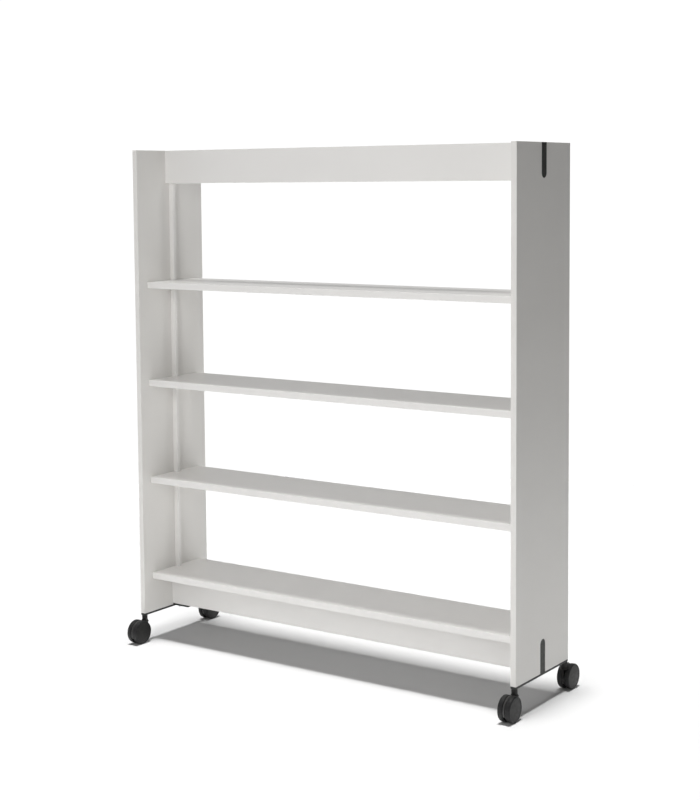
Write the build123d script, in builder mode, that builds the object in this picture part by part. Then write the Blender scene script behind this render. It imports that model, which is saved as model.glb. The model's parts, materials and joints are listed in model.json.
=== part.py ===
from build123d import *
import os

# Mobile open book cart, in millimetres. X runs along the shelves, Y from front to back and Z up.
# The origin is on the floor, in the middle of the cart.

# ---------------------------------------------------------------- driving dimensions
cart_width = 1400.0         # over the outer faces of the two end panels
panel_depth = 318.0
panel_thickness = 18.0
panel_height = 1515.0
panel_bottom_z = 94.0       # height of the panels above the floor
edge_radius = 1.0           # softened edges of the boards

shelf_depth = 240.0
shelf_height = 21.0         # height of the folded shelf edge
shelf_pitch = 320.0
lowest_shelf_top_z = 224.0
sheet = 1.5                 # sheet steel of the shelves and of the beams
bend_radius = 2.0           # outside radius of the sheet's bends
shelf_end_gap = 0.8         # between a shelf's end and the panel
lip_return = 12.0           # flange turned inwards under a shelf's front and back edges

beam_thickness = 44.0
beam_height = 107.0
bottom_beam_z = 99.0        # underside of the bottom beam

upright_reach = 18.0        # how far an upright stands out from its panel
upright_width = 12.0
upright_corner = 1.5

slot_width = 30.0           # slots in the panels that take the connectors
slot_length = 100.0
slot_gap = 0.25             # clearance around a connector in its slot
tongue_recess = 0.6         # from the panel's outer face to the connector in its slot

bar_thickness = 6.0         # steel bar under each end panel
arm_reach = 64.0            # arm of the base bracket, under the bottom beam
arm_width = 40.0
arm_bottom_z = 93.0
arm_overlap = 4.0           # how far the arm runs into the tongue
bar_corner = 2.0            # rounded corners of the bar and of the arm

wheel_radius = 37.5
wheel_width = 17.0
wheel_inset = 3.5           # from the caster's middle plane to a wheel's inner face
caster_trail = 28.0         # from the swivel axis to the wheel axle
stem_inset = 8.0            # from the front or back edge of a panel to the swivel axis
neck_radius = 9.0
running_gap = 0.05          # radial clearance of every turning fit
swivel_gap = 0.3            # end clearance under the stem's collar

# ---------------------------------------------------------------- sizes worked out from them
outer_face_x = cart_width / 2
inner_face_x = outer_face_x - panel_thickness
panel_top_z = panel_bottom_z + panel_height
bar_bottom_z = panel_bottom_z - bar_thickness
shelf_half_length = inner_face_x - shelf_end_gap
top_beam_z = panel_top_z - beam_height
bottom_beam_height = lowest_shelf_top_z - shelf_height - bottom_beam_z
stem_x = outer_face_x - panel_thickness / 2
stem_y = panel_depth / 2 - stem_inset

sides = {"left": -1, "right": 1}
ends = {"front": -1, "rear": 1}
shelf_tops = {
    "bottom": lowest_shelf_top_z,
    "lower": lowest_shelf_top_z + shelf_pitch,
    "middle": lowest_shelf_top_z + 2 * shelf_pitch,
    "upper": lowest_shelf_top_z + 3 * shelf_pitch,
}

# ---------------------------------------------------------------- fasteners
wood_screw_radius = 2.0
wood_screw_length = 14.0
wood_screw_head_radius = 4.0
wood_screw_head_height = 2.0
wood_screw_rounding = 1.0               # of the head
wood_screw_point = 1.2                  # chamfer at the tip
bolt_radius = 3.0
bolt_length = 16.0
bolt_head_radius = 5.5
bolt_head_height = 3.3
low_head_height = 1.8                   # bolts under the top beam
bolt_hole_radius = 3.3
bolt_key_radius = 2.2                   # hexagon socket
bolt_inset = 24.0                       # bolts of a beam end, from the panel's inner face
bolt_y = 13.0
block_length = 44.0                     # plug inside the end of a beam
block_gap = 0.2
insert_radius = 6.0                     # threaded insert in the panel for a caster stem
insert_length = 30.0
stem_radius = 4.0
stem_hole_radius = 4.25
stem_end_gap = 3.0                      # from the stem's upper end to the insert's
stem_chamfer = 0.8

bracket_sheet = 2.0
bracket_reach = 36.0
bracket_depth = 200.0
bracket_leg = 18.0
bracket_screw_y = 60.0
bracket_screw_drop = 11.0               # from the underside of the shelf's sheet to the screws
upright_clearance = 0.5                 # around an upright where a bracket passes it
notch_clearance = 1.0                   # around an upright where a shelf passes it

access_radius = 4.3                     # driver hole in the inner wall of an upright
cap_proud = 0.5                         # cap that closes a driver hole, above the wall
upright_screw_zs = [z + shelf_pitch / 2 for z in shelf_tops.values()]

bar_screw_y = 80.0

stiffener_width = 60.0
stiffener_flange = 14.0
stiffener_gap = 6.0                     # from a stiffener's end to the bracket
stiffener_half_length = inner_face_x - bracket_reach - stiffener_gap

parts = []


def finish(piece, name):
    """Label a finished piece and keep it for export."""
    piece.part.label = name
    parts.append(piece.part)


def x_plane(low_x):
    """YZ sketch plane at low_x; its normal is +X."""
    return Plane.YZ.offset(low_x)


def low_x(side, near, far):
    """Lower X of a piece that lies between two distances from the middle, on one side."""
    return near if side > 0 else -far


def bolt_spots(side):
    """X and Y of the two bolts that hold one end of a beam."""
    return [(side * (inner_face_x - bolt_inset), y) for y in (-bolt_y, bolt_y)]


# ---------------------------------------------------------------- screws
def wood_screw(base, direction):
    """Pan-head wood screw as a loose solid; base is under its head."""
    head_plane = Plane(origin=base, z_dir=direction)
    head = extrude(head_plane * Circle(wood_screw_head_radius), amount=-wood_screw_head_height)
    head = fillet(head.faces().sort_by(Axis(base, direction))[0].edges(), wood_screw_rounding)
    shank = extrude(head_plane * Circle(wood_screw_radius), amount=wood_screw_length)
    tip = chamfer(shank.faces().sort_by(Axis(base, direction))[-1].edges(), wood_screw_point)
    return head + tip


def machine_bolt(base, head_height):
    """Pan-head bolt pointing up as a loose solid; base is under its head."""
    head_plane = Plane(origin=base)
    head = extrude(head_plane * Circle(bolt_head_radius), amount=-head_height)
    head = fillet(head.faces().sort_by(Axis.Z)[0].edges(), 0.4 * head_height)
    key = head_plane.offset(-head_height) * RegularPolygon(bolt_key_radius, 6)
    socket = extrude(key, amount=0.55 * head_height)
    shank = extrude(head_plane * Circle(bolt_radius), amount=bolt_length)
    return head - socket + shank


def screw_group(screws, name):
    """Several identical fasteners as one node of separate solids."""
    with BuildPart() as group:
        for screw in screws:
            add(screw)
    finish(group, name)


bracket_screw_bases = [
    (side, (side * (inner_face_x - bracket_sheet), y, top - sheet - bracket_screw_drop))
    for side in sides.values()
    for top in shelf_tops.values()
    for y in (-bracket_screw_y, bracket_screw_y)
]
upright_screw_bases = [
    (side, (side * (inner_face_x - sheet), 0, z))
    for side in sides.values()
    for z in upright_screw_zs
]


# ---------------------------------------------------------------- end panels
def slot_profile(at_top, gap):
    """Open-ended slot with a round inner end, drawn in the open sketch at Y = 0."""
    radius = slot_width / 2 - gap
    edge_z = panel_top_z if at_top else panel_bottom_z
    inwards = -1 if at_top else 1
    round_z = edge_z + inwards * (slot_length - slot_width / 2)
    with Locations((0, (edge_z + round_z) / 2)):
        Rectangle(2 * radius, abs(edge_z - round_z))
    with Locations((0, round_z)):
        Circle(radius)


def end_panel(side, name):
    start = low_x(side, inner_face_x, outer_face_x)
    with BuildPart() as panel:
        with BuildSketch(x_plane(start)):
            with Locations((0, panel_bottom_z + panel_height / 2)):
                Rectangle(panel_depth, panel_height)
        extrude(amount=panel_thickness)
        fillet(panel.edges(), edge_radius)
        for at_top in (True, False):
            with BuildSketch(x_plane(start)):
                slot_profile(at_top, 0)
            extrude(amount=panel_thickness, mode=Mode.SUBTRACT)
        # pilot holes of the shelf brackets' screws and of the upright's screws
        for screw_side, base in bracket_screw_bases + upright_screw_bases:
            if screw_side == side:
                with BuildSketch(Plane(origin=base, z_dir=(side, 0, 0))):
                    Circle(wood_screw_radius)
                extrude(amount=wood_screw_length, mode=Mode.SUBTRACT)
        # holes in the lower edge for the caster inserts and for the bar's screws
        with BuildSketch(Plane.XY.offset(panel_bottom_z)):
            with Locations(*[(side * stem_x, end * stem_y) for end in ends.values()]):
                Circle(insert_radius)
        extrude(amount=insert_length, mode=Mode.SUBTRACT)
        with BuildSketch(Plane.XY.offset(panel_bottom_z)):
            with Locations(*[(side * stem_x, end * bar_screw_y) for end in ends.values()]):
                Circle(wood_screw_radius)
        extrude(amount=wood_screw_length, mode=Mode.SUBTRACT)
    finish(panel, name)


for side_name, side in sides.items():
    end_panel(side, f"{side_name}_end_panel")


# ---------------------------------------------------------------- beams
def beam(bottom_z, height, name):
    """Hollow sheet-steel beam between the panels, with bolt holes in its underside."""
    with BuildPart() as tube:
        with BuildSketch(x_plane(-inner_face_x)):
            with Locations((0, bottom_z + height / 2)):
                RectangleRounded(beam_thickness, height, bend_radius)
                Rectangle(beam_thickness - 2 * sheet, height - 2 * sheet, mode=Mode.SUBTRACT)
        extrude(amount=2 * inner_face_x)
        with BuildSketch(Plane.XY.offset(bottom_z)):
            for side in sides.values():
                with Locations(*bolt_spots(side)):
                    Circle(bolt_hole_radius)
        extrude(amount=sheet, mode=Mode.SUBTRACT)
    finish(tube, name)


beam(top_beam_z, beam_height, "top_beam")
beam(bottom_beam_z, bottom_beam_height, "bottom_beam")


def beam_block(side, bottom_z, height):
    """Plug inside a beam's end, with threaded holes for its bolts; cut in the open part."""
    near = inner_face_x - block_length
    wall_gap = 2 * (sheet + block_gap)
    with BuildSketch(x_plane(low_x(side, near, inner_face_x))) as section:
        with Locations((0, bottom_z + height / 2)):
            Rectangle(beam_thickness - wall_gap, height - wall_gap)
    extrude(section.sketch, amount=block_length)
    with BuildSketch(Plane.XY.offset(bottom_z + sheet + block_gap)) as threads:
        with Locations(*bolt_spots(side)):
            Circle(bolt_radius)
    extrude(threads.sketch, amount=bolt_length, mode=Mode.SUBTRACT)


# ---------------------------------------------------------------- top connectors
def top_connector(side, name):
    """Plug in the top beam with a tongue that fills the panel's top slot."""
    tongue_face = outer_face_x - tongue_recess
    with BuildPart() as connector:
        beam_block(side, top_beam_z, beam_height)
        with BuildSketch(x_plane(low_x(side, inner_face_x, tongue_face))):
            slot_profile(True, slot_gap)
        extrude(amount=tongue_face - inner_face_x)
    finish(connector, name)


for side_name, side in sides.items():
    top_connector(side, f"{side_name}_top_connector")

with BuildPart() as bottom_beam_blocks:
    for side in sides.values():
        beam_block(side, bottom_beam_z, bottom_beam_height)
finish(bottom_beam_blocks, "bottom_beam_end_blocks")


# ---------------------------------------------------------------- base brackets
def base_bracket(side, name):
    """Bar under a panel, tongue in its bottom slot and arm under the bottom beam."""
    tongue_face = outer_face_x - tongue_recess
    arm_near = inner_face_x - arm_reach
    with BuildPart() as bracket:
        with BuildSketch(Plane.XY.offset(bar_bottom_z)):
            with Locations((side * stem_x, 0)):
                RectangleRounded(panel_thickness, panel_depth, bar_corner)
        extrude(amount=bar_thickness)
        with BuildSketch(x_plane(low_x(side, inner_face_x, tongue_face))):
            slot_profile(False, slot_gap)
        extrude(amount=tongue_face - inner_face_x)
        with BuildSketch(Plane.XY.offset(arm_bottom_z)):
            with Locations((side * (arm_near + inner_face_x + arm_overlap) / 2, 0)):
                Rectangle(arm_reach + arm_overlap, slot_width - 2 * slot_gap)
            with Locations((side * (arm_near + inner_face_x) / 2, 0)):
                RectangleRounded(arm_reach, arm_width, bar_corner)
        extrude(amount=bottom_beam_z - arm_bottom_z)
        with BuildSketch(Plane.XY.offset(bar_bottom_z)):
            with Locations(*[(side * stem_x, end * stem_y) for end in ends.values()]):
                Circle(stem_hole_radius)
            with Locations(*[(side * stem_x, end * bar_screw_y) for end in ends.values()]):
                Circle(wood_screw_radius)
        extrude(amount=bar_thickness, mode=Mode.SUBTRACT)
        with BuildSketch(Plane.XY.offset(arm_bottom_z)):
            with Locations(*bolt_spots(side)):
                Circle(bolt_hole_radius)
        extrude(amount=bottom_beam_z - arm_bottom_z, mode=Mode.SUBTRACT)
    finish(bracket, name)


for side_name, side in sides.items():
    base_bracket(side, f"{side_name}_base_bracket")


# ---------------------------------------------------------------- uprights
def upright(side, name):
    """Slim tube in the panel's middle, from the bottom beam to the top beam."""
    low_z = lowest_shelf_top_z - shelf_height
    centre_x = side * (inner_face_x - upright_reach / 2)
    with BuildPart() as tube:
        with BuildSketch(Plane.XY.offset(low_z)):
            with Locations((centre_x, 0)):
                RectangleRounded(upright_reach, upright_width, upright_corner)
                Rectangle(upright_reach - 2 * sheet, upright_width - 2 * sheet, mode=Mode.SUBTRACT)
        extrude(amount=top_beam_z - low_z)
        for z in upright_screw_zs:
            wall_x = side * (inner_face_x - upright_reach)
            with BuildSketch(Plane(origin=(wall_x, 0, z), z_dir=(side, 0, 0))):
                Circle(access_radius)
            extrude(amount=sheet, mode=Mode.SUBTRACT)
            with BuildSketch(Plane(origin=(side * inner_face_x, 0, z), z_dir=(-side, 0, 0))):
                Circle(wood_screw_radius)
            extrude(amount=sheet, mode=Mode.SUBTRACT)
    finish(tube, name)


for side_name, side in sides.items():
    upright(side, f"{side_name}_upright")

with BuildPart() as upright_screw_caps:
    for side in sides.values():
        cap_face_x = side * (inner_face_x - upright_reach - cap_proud)
        for z in upright_screw_zs:
            with BuildSketch(Plane(origin=(cap_face_x, 0, z), z_dir=(side, 0, 0))):
                Circle(access_radius)
            extrude(amount=cap_proud + sheet)
finish(upright_screw_caps, "upright_screw_caps")


# ---------------------------------------------------------------- shelves
def upright_notch(side, clearance, bottom_z, height):
    """Cut the room an upright needs out of the open part."""
    reach = upright_reach + clearance
    with BuildSketch(Plane.XY.offset(bottom_z)) as notch:
        with Locations((side * (inner_face_x - reach / 2), 0)):
            Rectangle(reach, upright_width + 2 * clearance)
    extrude(notch.sketch, amount=height, mode=Mode.SUBTRACT)


def shelf(top_z, name):
    """Folded steel tray, open below, notched at both ends for the uprights."""
    bottom_z = top_z - shelf_height
    half_depth = shelf_depth / 2
    with BuildPart() as tray:
        with BuildSketch(x_plane(-shelf_half_length)):
            with Locations((0, bottom_z + shelf_height / 2)):
                RectangleRounded(shelf_depth, shelf_height, bend_radius)
                RectangleRounded(
                    shelf_depth - 2 * sheet,
                    shelf_height - 2 * sheet,
                    bend_radius - sheet,
                    mode=Mode.SUBTRACT,
                )
            with Locations((0, bottom_z)):
                Rectangle(2 * (half_depth - lip_return), 3 * sheet, mode=Mode.SUBTRACT)
        extrude(amount=2 * shelf_half_length)
        for side in sides.values():
            upright_notch(side, notch_clearance, top_z - 2 * sheet, 2 * sheet)
    finish(tray, name)


for shelf_name, top_z in shelf_tops.items():
    shelf(top_z, f"{shelf_name}_shelf")


def shelf_brackets(top_z, name):
    """The two angle brackets that carry one shelf, one on each panel."""
    seat_z = top_z - sheet
    with BuildPart() as brackets:
        for side in sides.values():
            near = inner_face_x - bracket_reach
            with BuildSketch(Plane.XY.offset(seat_z - bracket_sheet)):
                with Locations((side * (near + bracket_reach / 2), 0)):
                    Rectangle(bracket_reach, bracket_depth)
            extrude(amount=bracket_sheet)
            with BuildSketch(x_plane(low_x(side, inner_face_x - bracket_sheet, inner_face_x))):
                with Locations((0, seat_z - bracket_leg / 2)):
                    Rectangle(bracket_depth, bracket_leg)
            extrude(amount=bracket_sheet)
            upright_notch(side, upright_clearance, seat_z - bracket_leg, bracket_leg)
            for screw_side, base in bracket_screw_bases:
                if screw_side == side:
                    with BuildSketch(Plane(origin=base, z_dir=(side, 0, 0))):
                        Circle(wood_screw_radius)
                    extrude(amount=bracket_sheet, mode=Mode.SUBTRACT)
    finish(brackets, name)


for shelf_name, top_z in shelf_tops.items():
    shelf_brackets(top_z, f"{shelf_name}_shelf_brackets")

with BuildPart() as shelf_stiffeners:
    for top_z in shelf_tops.values():
        # hat section under the sheet, closed side down
        hat_height = shelf_height - sheet
        hat_z = top_z - shelf_height
        with BuildSketch(x_plane(-stiffener_half_length)):
            with Locations((0, hat_z + hat_height / 2)):
                Rectangle(stiffener_width, hat_height)
            with Locations((0, hat_z + hat_height - sheet / 2)):
                Rectangle(stiffener_width + 2 * stiffener_flange, sheet)
            with Locations((0, hat_z + sheet + hat_height / 2)):
                Rectangle(stiffener_width - 2 * sheet, hat_height, mode=Mode.SUBTRACT)
        extrude(amount=2 * stiffener_half_length)
finish(shelf_stiffeners, "shelf_stiffeners")

# ---------------------------------------------------------------- fastener groups
screw_group(
    [wood_screw(base, (side, 0, 0)) for side, base in bracket_screw_bases],
    "shelf_bracket_screws",
)
screw_group(
    [wood_screw(base, (side, 0, 0)) for side, base in upright_screw_bases],
    "upright_screws",
)
screw_group(
    [
        wood_screw((side * stem_x, end * bar_screw_y, bar_bottom_z), (0, 0, 1))
        for side in sides.values()
        for end in ends.values()
    ],
    "base_bar_screws",
)
screw_group(
    [
        machine_bolt((x, y, top_beam_z), low_head_height)
        for side in sides.values()
        for x, y in bolt_spots(side)
    ],
    "top_beam_bolts",
)
screw_group(
    [
        machine_bolt((x, y, arm_bottom_z), bolt_head_height)
        for side in sides.values()
        for x, y in bolt_spots(side)
    ],
    "base_arm_bolts",
)

with BuildPart() as caster_inserts:
    with BuildSketch(Plane.XY.offset(panel_bottom_z)):
        for side in sides.values():
            with Locations(*[(side * stem_x, end * stem_y) for end in ends.values()]):
                Circle(insert_radius)
                Circle(stem_radius, mode=Mode.SUBTRACT)
    extrude(amount=insert_length)
finish(caster_inserts, "caster_inserts")

# ---------------------------------------------------------------- casters
axle_z = wheel_radius
axle_radius = 3.0
axle_half_length = 18.0
axle_chamfer = 0.5
axle_end_gap = 0.4                      # between the axle's end and the hub's blind bore
web_half = wheel_inset - 0.5            # half thickness of the housing between the wheels
web_radius = 30.0
wheel_clearance = 0.9                   # between the housing's hood and the wheels
hood_radius = 12.5
hood_bottom_z = 65.0
hood_top_z = 76.0
hood_lip = 2.0                          # height of the hood's upright rim
hood_chamfer = 1.0
hood_shoulder = (1.0, 6.5)              # outside the neck and above the hood's bottom
web_top_z = 69.0
collar_height = 1.2
collar_radius = 8.0
neck_top_z = bar_bottom_z - collar_height - swivel_gap
bush_radius = 6.0
bush_bottom_z = 70.0
stem_bottom_z = 70.5
hub_radius = 29.5
hub_centre_radius = 12.0                # flat middle of the hub's slightly coned face
groove = 0.5                            # between the hub's face and the tyre's
tyre_width = wheel_width - groove
tyre_edge = 4.0


def caster_housing(x, y, trail, name):
    """Body between the two wheels, with a small hood and the neck that swivels on the stem."""
    axle_y = y + trail
    with BuildPart() as housing:
        with BuildSketch(x_plane(x - web_half)):
            with Locations((axle_y, axle_z)):
                Circle(web_radius)
            with Locations((y, (axle_z + web_top_z) / 2)):
                Rectangle(2 * neck_radius, web_top_z - axle_z)
            make_hull()
        extrude(amount=2 * web_half)
        with BuildSketch(Plane.XZ.offset(-y)):
            with BuildLine():
                Polyline(
                    (x, hood_bottom_z),
                    (x + hood_radius - hood_chamfer, hood_bottom_z),
                    (x + hood_radius, hood_bottom_z + hood_lip),
                )
                Spline(
                    (x + hood_radius, hood_bottom_z + hood_lip),
                    (x + neck_radius + hood_shoulder[0], hood_bottom_z + hood_shoulder[1]),
                    (x + neck_radius, hood_top_z),
                    tangents=[(-0.2, 1), (0, 1)],
                )
                Polyline(
                    (x + neck_radius, hood_top_z),
                    (x + neck_radius, neck_top_z),
                    (x, neck_top_z),
                    (x, hood_bottom_z),
                )
            make_face()
        revolve(axis=Axis((x, y, 0), (0, 0, 1)))
        cut_width = hood_radius + hood_chamfer - web_half
        for start in (x - web_half - cut_width, x + web_half):
            with BuildSketch(x_plane(start)):
                with Locations((axle_y, axle_z)):
                    Circle(wheel_radius + wheel_clearance)
            extrude(amount=cut_width, mode=Mode.SUBTRACT)
        with BuildSketch(x_plane(x - web_half)):
            with Locations((axle_y, axle_z)):
                Circle(axle_radius)
        extrude(amount=2 * web_half, mode=Mode.SUBTRACT)
        with BuildSketch(Plane.XY.offset(bush_bottom_z)):
            with Locations((x, y)):
                Circle(bush_radius)
        extrude(amount=neck_top_z - bush_bottom_z, mode=Mode.SUBTRACT)
    finish(housing, name)


def caster_bush(x, y, name):
    """Plain bearing pressed into the neck."""
    with BuildPart() as bush:
        with BuildSketch(Plane.XY.offset(bush_bottom_z)):
            with Locations((x, y)):
                Circle(bush_radius)
                Circle(stem_radius + running_gap, mode=Mode.SUBTRACT)
        extrude(amount=neck_top_z - bush_bottom_z)
    finish(bush, name)


def caster_stem(x, y, name):
    """Pin in the bush, collar under the bar and threaded end in the panel's insert."""
    with BuildPart() as stem:
        with BuildSketch(Plane.XY.offset(stem_bottom_z)):
            with Locations((x, y)):
                Circle(stem_radius)
        extrude(amount=panel_bottom_z + insert_length - stem_end_gap - stem_bottom_z)
        chamfer(stem.faces().sort_by(Axis.Z)[-1].edges(), stem_chamfer)
        with BuildSketch(Plane.XY.offset(bar_bottom_z - collar_height)):
            with Locations((x, y)):
                Circle(collar_radius)
        extrude(amount=collar_height)
    finish(stem, name)


def caster_axle(x, y, name):
    with BuildPart() as axle:
        with BuildSketch(x_plane(x - axle_half_length)):
            with Locations((y, axle_z)):
                Circle(axle_radius)
        extrude(amount=2 * axle_half_length)
        chamfer(axle.edges().filter_by(GeomType.CIRCLE), axle_chamfer)
    finish(axle, name)


def wheel_section(x, y, outwards):
    """Sketch plane through the wheel's axis: local x is radial and local y is outwards."""
    origin = (x + outwards * wheel_inset, y, axle_z)
    return Plane(origin=origin, x_dir=(0, 0, 1), z_dir=(0, outwards, 0))


def caster_hub(x, y, outwards, name):
    """Wheel disc with a blind bore, a slightly coned face and a fine groove at its rim."""
    bore = axle_radius + running_gap
    bore_depth = axle_half_length - wheel_inset + axle_end_gap
    with BuildPart() as hub:
        with BuildSketch(wheel_section(x, y, outwards)):
            with BuildLine():
                Polyline(
                    (bore, 0),
                    (hub_radius, 0),
                    (hub_radius, tyre_width - groove),
                    (hub_radius - groove, tyre_width),
                    (hub_centre_radius, wheel_width),
                    (0, wheel_width),
                    (0, bore_depth),
                    (bore, bore_depth),
                    (bore, 0),
                )
            make_face()
        revolve(axis=Axis((x, y, axle_z), (1, 0, 0)))
    finish(hub, name)


def caster_tyre(x, y, outwards, name):
    """Ring of softer plastic around the hub, with a rounded tread."""
    with BuildPart() as tyre:
        with BuildSketch(wheel_section(x, y, outwards)):
            with Locations(((hub_radius + wheel_radius) / 2, tyre_width / 2)):
                Rectangle(wheel_radius - hub_radius, tyre_width)
        revolve(axis=Axis((x, y, axle_z), (1, 0, 0)))
        rims = tyre.edges().filter_by(GeomType.CIRCLE).group_by(SortBy.RADIUS)[-1]
        fillet(rims, tyre_edge)
    finish(tyre, name)


for end_name, end in ends.items():
    for side_name, side in sides.items():
        corner = f"{end_name}_{side_name}_caster"
        x = side * stem_x
        y = end * stem_y
        trail = end * caster_trail
        caster_stem(x, y, f"{corner}_stem")
        caster_housing(x, y, trail, f"{corner}_housing")
        caster_bush(x, y, f"{corner}_bush")
        caster_axle(x, y + trail, f"{corner}_axle")
        for wheel_name, outwards in (("inner", -side), ("outer", side)):
            caster_hub(x, y + trail, outwards, f"{corner}_{wheel_name}_hub")
            caster_tyre(x, y + trail, outwards, f"{corner}_{wheel_name}_tyre")

# ---------------------------------------------------------------- export
os.makedirs("parts", exist_ok=True)
for piece in parts:
    export_step(piece, f"parts/{piece.label}.step")
    print(piece.label, len(piece.solids()), round(piece.volume))
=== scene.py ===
"""Book cart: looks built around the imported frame, in metres."""

import json
import math

import bmesh
import bpy
from mathutils import Matrix, Vector


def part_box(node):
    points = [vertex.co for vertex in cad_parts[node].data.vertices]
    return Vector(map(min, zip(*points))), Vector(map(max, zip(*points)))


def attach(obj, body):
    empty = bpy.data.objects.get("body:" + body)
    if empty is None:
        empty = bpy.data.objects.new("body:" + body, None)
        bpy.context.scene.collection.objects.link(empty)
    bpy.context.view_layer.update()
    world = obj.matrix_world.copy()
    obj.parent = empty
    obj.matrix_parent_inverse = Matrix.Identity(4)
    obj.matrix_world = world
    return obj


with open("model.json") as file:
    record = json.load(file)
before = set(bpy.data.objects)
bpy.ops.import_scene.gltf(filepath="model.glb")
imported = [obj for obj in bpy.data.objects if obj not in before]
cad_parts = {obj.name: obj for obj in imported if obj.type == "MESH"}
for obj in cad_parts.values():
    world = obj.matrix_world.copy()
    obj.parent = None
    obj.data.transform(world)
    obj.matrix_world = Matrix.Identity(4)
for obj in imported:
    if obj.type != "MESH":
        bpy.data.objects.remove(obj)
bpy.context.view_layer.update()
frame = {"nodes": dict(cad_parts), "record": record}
scene = bpy.context.scene
nodes = frame["nodes"]

# ------------------------------------------------------------------ camera
CAMERA_PLACE = (2.7701, -3.9375, 1.4984)
CAMERA_YAW = 34.776         # degrees from +Y towards -X
CAMERA_PITCH = 4.918        # degrees below the horizon
CAMERA_ROLL = -0.428        # degrees about the line of sight
CAMERA_SENSOR = 36.0        # mm, along the image's height
CAMERA_LENS = 70.8525       # mm
CAMERA_SHIFT = -0.101625    # of the image's height
CAMERA_RANGE = 200.0        # nothing further away is drawn


def add_camera():
    """Camera at the reference viewing angle, with the shift that its framing needs."""
    yaw, pitch, roll = (math.radians(a) for a in (CAMERA_YAW, CAMERA_PITCH, CAMERA_ROLL))
    forward = Vector(
        (-math.sin(yaw) * math.cos(pitch), math.cos(yaw) * math.cos(pitch), -math.sin(pitch))
    )
    level = Vector((math.cos(yaw), math.sin(yaw), 0))
    above = level.cross(forward)
    right = level * math.cos(roll) + above * math.sin(roll)
    up = above * math.cos(roll) - level * math.sin(roll)
    data = bpy.data.cameras.new("camera")
    data.sensor_width = CAMERA_SENSOR
    data.lens = CAMERA_LENS
    data.shift_y = CAMERA_SHIFT
    data.clip_end = CAMERA_RANGE
    camera = bpy.data.objects.new("camera", data)
    camera.matrix_world = Matrix.Translation(CAMERA_PLACE) @ Matrix(
        (right, up, -forward)
    ).transposed().to_4x4()
    scene.collection.objects.link(camera)
    scene.camera = camera


add_camera()
scene.view_settings.view_transform = "Standard"
scene.view_settings.look = "None"


# ------------------------------------------------------------------ material helpers
MIX_FACTOR, MIX_FIRST, MIX_SECOND = 0, 6, 7     # inputs of a Mix node that blends colours
MIX_RESULT = 2                                  # and its output


class Shader:
    """A Principled material under construction, with its nodes made by short calls."""

    def __init__(self, name, colour, roughness, metallic=0.0, specular=0.5):
        self.material = bpy.data.materials.new(name)
        self.material.use_nodes = True
        self.tree = self.material.node_tree
        self.bsdf = self.tree.nodes["Principled BSDF"]
        self.bsdf.inputs["Base Color"].default_value = (*colour, 1)
        self.bsdf.inputs["Roughness"].default_value = roughness
        self.bsdf.inputs["Metallic"].default_value = metallic
        self.bsdf.inputs["Specular IOR Level"].default_value = specular
        self.place = self.node("ShaderNodeTexCoord").outputs["Object"]
        self.colour = colour
        self.roughness = roughness

    def node(self, kind, **inputs):
        made = self.tree.nodes.new(kind)
        for key, value in inputs.items():
            made.inputs[key].default_value = value
        return made

    def link(self, source, target):
        self.tree.links.new(source, target)

    def noise(self, scale, detail, rough=0.5):
        """Cloudy pattern with so many features per metre and octaves of detail."""
        made = self.node("ShaderNodeTexNoise", Scale=scale, Detail=detail, Roughness=rough)
        self.link(self.place, made.inputs["Vector"])
        return made.outputs["Fac"]

    def cells(self, scale):
        """Cell pattern with so many cells per metre."""
        made = self.node("ShaderNodeTexVoronoi", Scale=scale)
        self.link(self.place, made.inputs["Vector"])
        return made.outputs["Distance"]

    def ramp(self, source, low, high, low_out=0.0, high_out=1.0):
        """Map low to low_out and high to high_out, in a straight line clamped at both ends."""
        made = self.node("ShaderNodeMapRange")
        for key, value in zip(("From Min", "From Max", "To Min", "To Max"),
                              (low, high, low_out, high_out)):
            made.inputs[key].default_value = value
        self.link(source, made.inputs["Value"])
        return made.outputs["Result"]

    def tint(self, amount, other):
        """Blend the base colour so far towards another by a varying amount."""
        mix = self.tree.nodes.new("ShaderNodeMix")
        mix.data_type = "RGBA"
        base = self.bsdf.inputs["Base Color"]
        mix.inputs[MIX_FIRST].default_value = (*self.colour, 1)
        mix.inputs[MIX_SECOND].default_value = (*other, 1)
        if base.is_linked:
            self.link(base.links[0].from_socket, mix.inputs[MIX_FIRST])
        self.link(amount, mix.inputs[MIX_FACTOR])
        self.link(mix.outputs[MIX_RESULT], base)

    def vary_roughness(self, source, spread):
        """Let the roughness wander by the spread to both sides of its value."""
        low = self.roughness - spread
        high = self.roughness + spread
        self.link(self.ramp(source, 0.3, 0.7, low, high), self.bsdf.inputs["Roughness"])

    def bump(self, height, distance, strength=1.0):
        """Relief of so many metres, laid over any that is there already."""
        made = self.node("ShaderNodeBump", Strength=strength, Distance=distance)
        self.link(height, made.inputs["Height"])
        normal = self.bsdf.inputs["Normal"]
        if normal.is_linked:
            self.link(normal.links[0].from_socket, made.inputs["Normal"])
        self.link(made.outputs["Normal"], normal)


# ------------------------------------------------------------------ materials
def laminate():
    """Satin laminate of the end panels: soft pebbled grain and a faint cloudiness."""
    s = Shader("panel_laminate", (0.84, 0.827, 0.80), 0.46, specular=0.4)
    s.tint(s.ramp(s.noise(2.2, 3), 0.35, 0.65), (0.822, 0.807, 0.779))
    s.vary_roughness(s.noise(38, 5), 0.05)
    s.bump(s.noise(1500, 3), 0.00002)
    s.bump(s.noise(5.0, 2), 0.0004, 0.25)
    return s.material


def powder_white():
    """Satin powder coat on folded sheet steel: fine orange peel."""
    s = Shader("powder_white", (0.88, 0.867, 0.845), 0.28, specular=0.5)
    s.tint(s.ramp(s.noise(3.1, 3), 0.35, 0.65), (0.862, 0.848, 0.828))
    s.bump(s.noise(900, 2), 0.000003)
    return s.material


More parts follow.
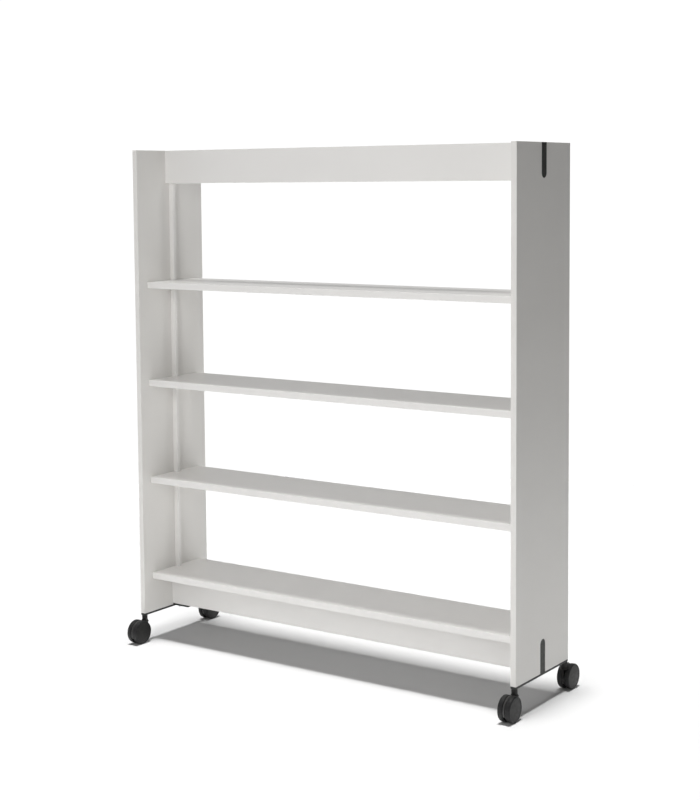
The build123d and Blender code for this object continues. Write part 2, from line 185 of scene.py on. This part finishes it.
def powder_black():
    """Matt textured powder coat of the base brackets, connectors and caster stems."""
    s = Shader("powder_black", (0.038, 0.038, 0.036), 0.55, specular=0.4)
    s.tint(s.ramp(s.noise(90, 5), 0.4, 0.7), (0.055, 0.054, 0.051))
    s.vary_roughness(s.noise(70, 4), 0.06)
    s.bump(s.cells(1600), 0.00004)
    return s.material


def caster_nylon():
    """Dark moulded nylon with a fine spark-eroded grain and light scuffs."""
    s = Shader("caster_nylon", (0.016, 0.0155, 0.015), 0.46, specular=0.35)
    scuff = s.ramp(s.noise(45, 8, 0.7), 0.55, 0.8)
    s.tint(scuff, (0.032, 0.031, 0.03))
    s.vary_roughness(s.noise(110, 6), 0.08)
    s.bump(s.noise(2400, 3), 0.000015)
    return s.material


def fender_nylon_painted_highlight():
    """Smoother moulding of the rib between the wheels, kept lighter grey than the wheels as a
    painted highlight along the arc between them.
    """
    s = Shader("fender_nylon_painted_highlight", (0.045, 0.044, 0.043), 0.34, specular=0.5)
    s.tint(s.ramp(s.noise(60, 6, 0.6), 0.5, 0.8), (0.062, 0.060, 0.058))
    s.vary_roughness(s.noise(140, 5), 0.06)
    s.bump(s.noise(2000, 3), 0.00001)
    return s.material


def tread():
    """Softer tread ring: a little duller, with floor dust on it."""
    s = Shader("tread_polyurethane", (0.014, 0.014, 0.0145), 0.5, specular=0.35)
    s.tint(s.ramp(s.noise(130, 6, 0.65), 0.48, 0.8), (0.036, 0.035, 0.033))
    s.vary_roughness(s.noise(80, 5), 0.09)
    s.bump(s.noise(900, 5), 0.00005)
    return s.material


def black_plastic():
    """Moulded plastic of the beam's end blocks and of the caster bushes."""
    s = Shader("black_plastic", (0.035, 0.035, 0.036), 0.48)
    s.tint(s.ramp(s.noise(70, 4), 0.4, 0.7), (0.05, 0.05, 0.05))
    s.vary_roughness(s.noise(100, 4), 0.05)
    s.bump(s.noise(1900, 3), 0.00002)
    return s.material


def zinc():
    """Zinc-plated steel of screws, bolts and axles: crystalline, faintly blue."""
    s = Shader("zinc_plate", (0.60, 0.61, 0.63), 0.34, metallic=1.0)
    s.tint(s.ramp(s.cells(420), 0.2, 0.7), (0.50, 0.52, 0.56))
    s.vary_roughness(s.noise(300, 4), 0.09)
    s.bump(s.noise(1400, 3), 0.00001)
    return s.material


MATERIALS = {
    "panel_white": laminate(),
    "powder_white": powder_white(),
    "black_steel": powder_black(),
    "caster_plastic": caster_nylon(),
    "tread_plastic": tread(),
    "black_plastic": black_plastic(),
    "zinc_steel": zinc(),
}


def paint_frame():
    """Give every CAD node the material of its slot."""
    for sub in frame["record"]["subparts"]:
        shown = nodes[sub["node"]]
        shown.data.materials.clear()
        shown.data.materials.append(MATERIALS[sub["material_slot"]])


paint_frame()

# ------------------------------------------------------------------ caster fenders
FENDER_ROOT = 0.0295        # radii about the axle; the root sits in the housing's web
FENDER_RIM = 0.0362
FENDER_HALF_WIDTH = 0.0028
FENDER_ROUNDING = 0.001
FENDER_START = -38          # degrees from +Y, up over the wheels to the mirrored angle
FENDER_STEP = 4
FENDER_CORNER_STEP = 30     # degrees between the points of a rounded edge
FENDER_TAPER = 16           # degrees over which an end thins out
FENDER_TIP = 0.12           # part of the height that is left at the very end


def fender_profile(height):
    """Section of the rib, its outer edges rounded, as pairs of X offset and radius."""
    rim = FENDER_ROOT + (FENDER_RIM - FENDER_ROOT) * height
    edge = FENDER_ROUNDING * height
    half = [(FENDER_HALF_WIDTH, FENDER_ROOT)]
    for angle in range(0, 91, FENDER_CORNER_STEP):
        turn = math.radians(angle)
        half.append((
            FENDER_HALF_WIDTH - edge + edge * math.cos(turn),
            rim - edge + edge * math.sin(turn),
        ))
    return half + [(-x, radius) for x, radius in reversed(half)]


def add_fender(corner, material):
    """Curved rib that fills the gap between the two wheels, above the floor."""
    low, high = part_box(f"{corner}_axle")
    centre = [(a + b) / 2 for a, b in zip(low, high)]
    form = bmesh.new()
    rings = []
    for angle in range(FENDER_START, 181 - FENDER_START, FENDER_STEP):
        from_end = min(angle - FENDER_START, 180 - FENDER_START - angle)
        blend = min(from_end / FENDER_TAPER, 1.0)
        height = FENDER_TIP + (1 - FENDER_TIP) * math.sin(blend * math.pi / 2)
        turn = math.radians(angle)
        rings.append([
            form.verts.new((
                centre[0] + x,
                centre[1] + radius * math.cos(turn),
                centre[2] + radius * math.sin(turn),
            ))
            for x, radius in fender_profile(height)
        ])
    for ring, following in zip(rings, rings[1:]):
        for i, vert in enumerate(ring):
            j = (i + 1) % len(ring)
            form.faces.new((vert, ring[j], following[j], following[i])).smooth = True
    form.faces.new(rings[0])
    form.faces.new(rings[-1])
    bmesh.ops.recalc_face_normals(form, faces=form.faces)
    mesh = bpy.data.meshes.new(f"{corner}_fender")
    form.to_mesh(mesh)
    form.free()
    mesh.materials.append(material)
    piece = bpy.data.objects.new(f"{corner}_fender", mesh)
    scene.collection.objects.link(piece)
    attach(piece, f"{corner}_swivel")


def add_fenders():
    # the rib's lighter grey is a painted highlight
    material = fender_nylon_painted_highlight()
    for end in ("front", "rear"):
        for side in ("left", "right"):
            add_fender(f"{end}_{side}_caster", material)


add_fenders()

# ------------------------------------------------------------------ studio
FLOOR_RADIUS = 3.2
FLOOR_SEGMENTS = 96
RIM_START = 1.3             # distance from the middle where the floor starts to lighten
DOME_LEFT = 0.95            # strength straight to the left, fading to 0 in the middle
DOME_RIGHT = 0.295          # the same to the right
BACKGROUND = 1.05           # strength of the white that the camera sees past the floor
SUN_DIRECTION = (0.0, 0.035, -1.0)      # almost straight down, leaning to the back
SUN_SPREAD = 9.0            # degrees


def floor_material():
    """Pale matt floor, lighter towards its rim, where it meets the white background."""
    s = Shader("studio_floor", (0.5, 0.5, 0.5), 0.7, specular=0.1)
    s.tint(s.ramp(s.noise(1.5, 2), 0.3, 0.7), (0.496, 0.496, 0.496))
    distance = s.node("ShaderNodeVectorMath")
    distance.operation = "LENGTH"
    s.link(s.place, distance.inputs[0])
    rim = s.ramp(distance.outputs["Value"], RIM_START, FLOOR_RADIUS)
    s.tint(rim, (0.58, 0.58, 0.58))
    return s.material


def add_floor():
    mesh = bpy.data.meshes.new("floor")
    form = bmesh.new()
    bmesh.ops.create_circle(form, cap_ends=True, radius=FLOOR_RADIUS, segments=FLOOR_SEGMENTS)
    form.to_mesh(mesh)
    form.free()
    floor = bpy.data.objects.new("floor", mesh)
    mesh.materials.append(floor_material())
    scene.collection.objects.link(floor)


def add_sun(name, strength, floor_only=False):
    """Distant overhead light, which may be kept to the floor alone."""
    data = bpy.data.lights.new(name, "SUN")
    data.energy = strength
    data.angle = math.radians(SUN_SPREAD)
    light = bpy.data.objects.new(name, data)
    light.rotation_mode = "QUATERNION"
    light.rotation_quaternion = Vector(SUN_DIRECTION).to_track_quat("-Z", "Y")
    scene.collection.objects.link(light)
    if floor_only:
        lit = bpy.data.collections.new(name + "_receivers")
        lit.objects.link(bpy.data.objects["floor"])
        light.light_linking.receiver_collection = lit


def add_softbox(name, place, target, size, watts):
    """Rectangular studio light aimed at a point, unseen by the camera and in reflections."""
    data = bpy.data.lights.new(name, "AREA")
    data.shape = "RECTANGLE"
    data.size, data.size_y = size
    data.energy = watts
    light = bpy.data.objects.new(name, data)
    light.location = place
    light.rotation_mode = "QUATERNION"
    aim = Vector(target) - Vector(place)
    light.rotation_quaternion = aim.to_track_quat("-Z", "Y")
    light.visible_camera = False
    light.visible_glossy = False
    scene.collection.objects.link(light)


def add_world():
    """White to the camera; to every other ray a dome that is bright left and dimmer right."""
    world = bpy.data.worlds.new("studio")
    scene.world = world
    world.use_nodes = True
    tree = world.node_tree
    tree.nodes.clear()
    output = tree.nodes.new("ShaderNodeOutputWorld")
    mix = tree.nodes.new("ShaderNodeMixShader")
    dome = tree.nodes.new("ShaderNodeBackground")
    white = tree.nodes.new("ShaderNodeBackground")
    white.inputs["Color"].default_value = (1, 1, 1, 1)
    white.inputs["Strength"].default_value = BACKGROUND
    path = tree.nodes.new("ShaderNodeLightPath")
    place = tree.nodes.new("ShaderNodeTexCoord")
    split = tree.nodes.new("ShaderNodeSeparateXYZ")
    links = tree.links
    links.new(place.outputs["Generated"], split.inputs[0])
    sides = []
    for strength in (-DOME_LEFT, DOME_RIGHT):
        side = tree.nodes.new("ShaderNodeMath")
        side.operation = "MULTIPLY"
        side.use_clamp = True
        side.inputs[1].default_value = strength
        links.new(split.outputs["X"], side.inputs[0])
        sides.append(side.outputs[0])
    both = tree.nodes.new("ShaderNodeMath")
    both.operation = "ADD"
    links.new(sides[0], both.inputs[0])
    links.new(sides[1], both.inputs[1])
    links.new(both.outputs[0], dome.inputs["Strength"])
    links.new(path.outputs["Is Camera Ray"], mix.inputs[0])
    links.new(dome.outputs[0], mix.inputs[1])
    links.new(white.outputs[0], mix.inputs[2])
    links.new(mix.outputs[0], output.inputs["Surface"])


add_floor()
add_world()
add_sun("overhead", strength=1.4)
add_sun("floor_wash", strength=3.85, floor_only=True)
add_softbox(
    "front_softbox", place=(0.5, -2.9, 1.9), target=(-0.3, 0.0, 0.95), size=(0.8, 2.2), watts=35
)
add_softbox(
    "back_softbox", place=(0.35, 2.4, 1.7), target=(-0.3, 0.0, 0.9), size=(0.6, 2.0), watts=18
)
